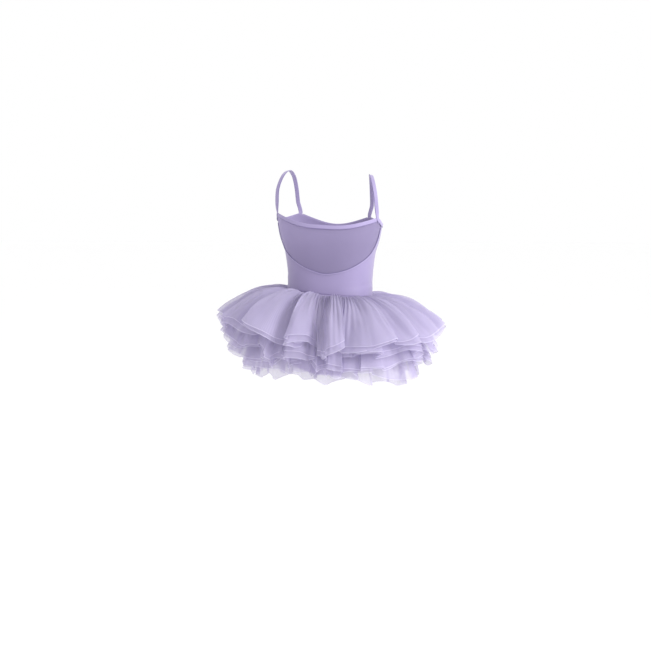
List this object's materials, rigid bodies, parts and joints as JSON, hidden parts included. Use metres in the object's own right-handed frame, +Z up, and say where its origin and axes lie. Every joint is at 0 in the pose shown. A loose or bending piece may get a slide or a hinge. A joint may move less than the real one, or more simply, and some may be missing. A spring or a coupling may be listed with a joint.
{
  "type": "ballet dress",
  "caption": "Child's camisole ballet dress as worn, with a sheer back inset, thin straps, an attached brief and a short gathered tulle tutu skirt.",
  "frame": {"origin": "midway between the tops of the two straps, where the wearer's shoulders hold the dress up", "axes": "+Z up, +X towards the wearer's right, +Y towards the wearer's front"},
  "size_m": [0.507, 0.4222, 0.4641],
  "materials": {
    "lavender_lycra": "matte satin stretch jersey",
    "sheer_power_net": "sheer fine stretch net",
    "lycra_binding": "matte satin folded binding",
    "pale_tulle": "soft matte tulle, see-through in one layer"
  },
  "bodies": {
    "root": {"bodice_front": "lavender_lycra", "bodice_back": "lavender_lycra", "back_inset": "sheer_power_net", "back_neck_binding": "lycra_binding", "front_neck_binding": "lycra_binding", "strap_right": "lycra_binding", "strap_left": "lycra_binding", "brief_back": "lavender_lycra", "brief_front": "lavender_lycra", "tulle_layer_1": "pale_tulle", "tulle_layer_2": "pale_tulle", "tulle_layer_3": "pale_tulle", "tulle_layer_4": "pale_tulle", "tulle_layer_5": "pale_tulle"}
  },
  "joints": []
}
